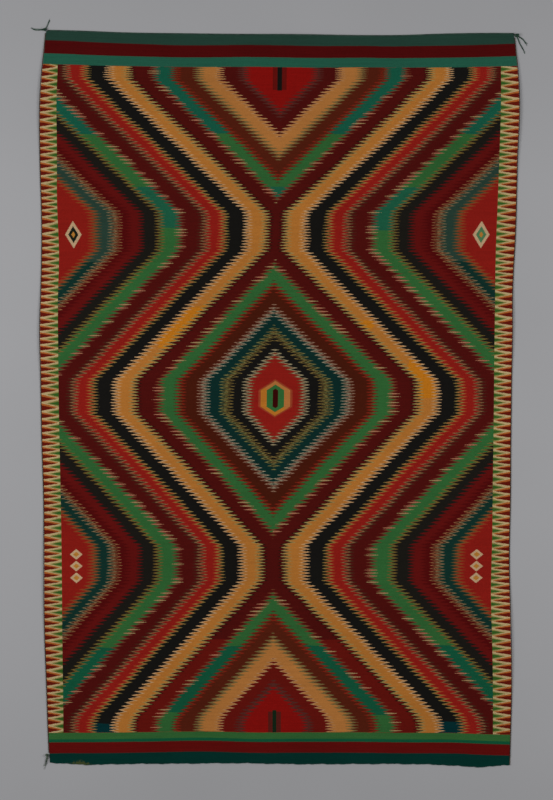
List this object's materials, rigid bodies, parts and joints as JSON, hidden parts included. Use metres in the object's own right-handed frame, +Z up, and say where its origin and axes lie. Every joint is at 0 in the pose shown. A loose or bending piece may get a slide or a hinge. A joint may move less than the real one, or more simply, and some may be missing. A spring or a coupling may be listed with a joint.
{
  "type": "woven wool blanket",
  "caption": "Hand-woven wool blanket laid out flat, with serrated nested diamonds, end stripes, twined edge cords and corner tassels.",
  "frame": {"origin": "middle of the cloth's underside, where it lies on its surface", "axes": "+Z up out of the cloth's face, +Y along the warp to the top end, +X across to the right side"},
  "size_m": [1.4555, 2.1876, 0.01],
  "materials": {
    "woven_wool": "matt hand-spun wool in a tight weft-faced weave, in red, maroon, green, black, cream and tan-gold",
    "end_cord_wool": "matt dark green two-ply wool cord",
    "side_cord_wool": "matt near-black two-ply wool cord, worn at the bends",
    "tassel_wool": "matt dark green wool yarn, fraying at its ends",
    "low_tassel_wool": "matt grey-green wool yarn, fraying at its ends"
  },
  "bodies": {
    "root": {"blanket_panel": "woven_wool", "top_end_cord": "end_cord_wool", "left_side_cord": "side_cord_wool", "right_side_cord": "side_cord_wool", "top_left_tassel": "tassel_wool", "top_right_tassel": "tassel_wool", "bottom_left_tassel": "low_tassel_wool"}
  },
  "joints": []
}
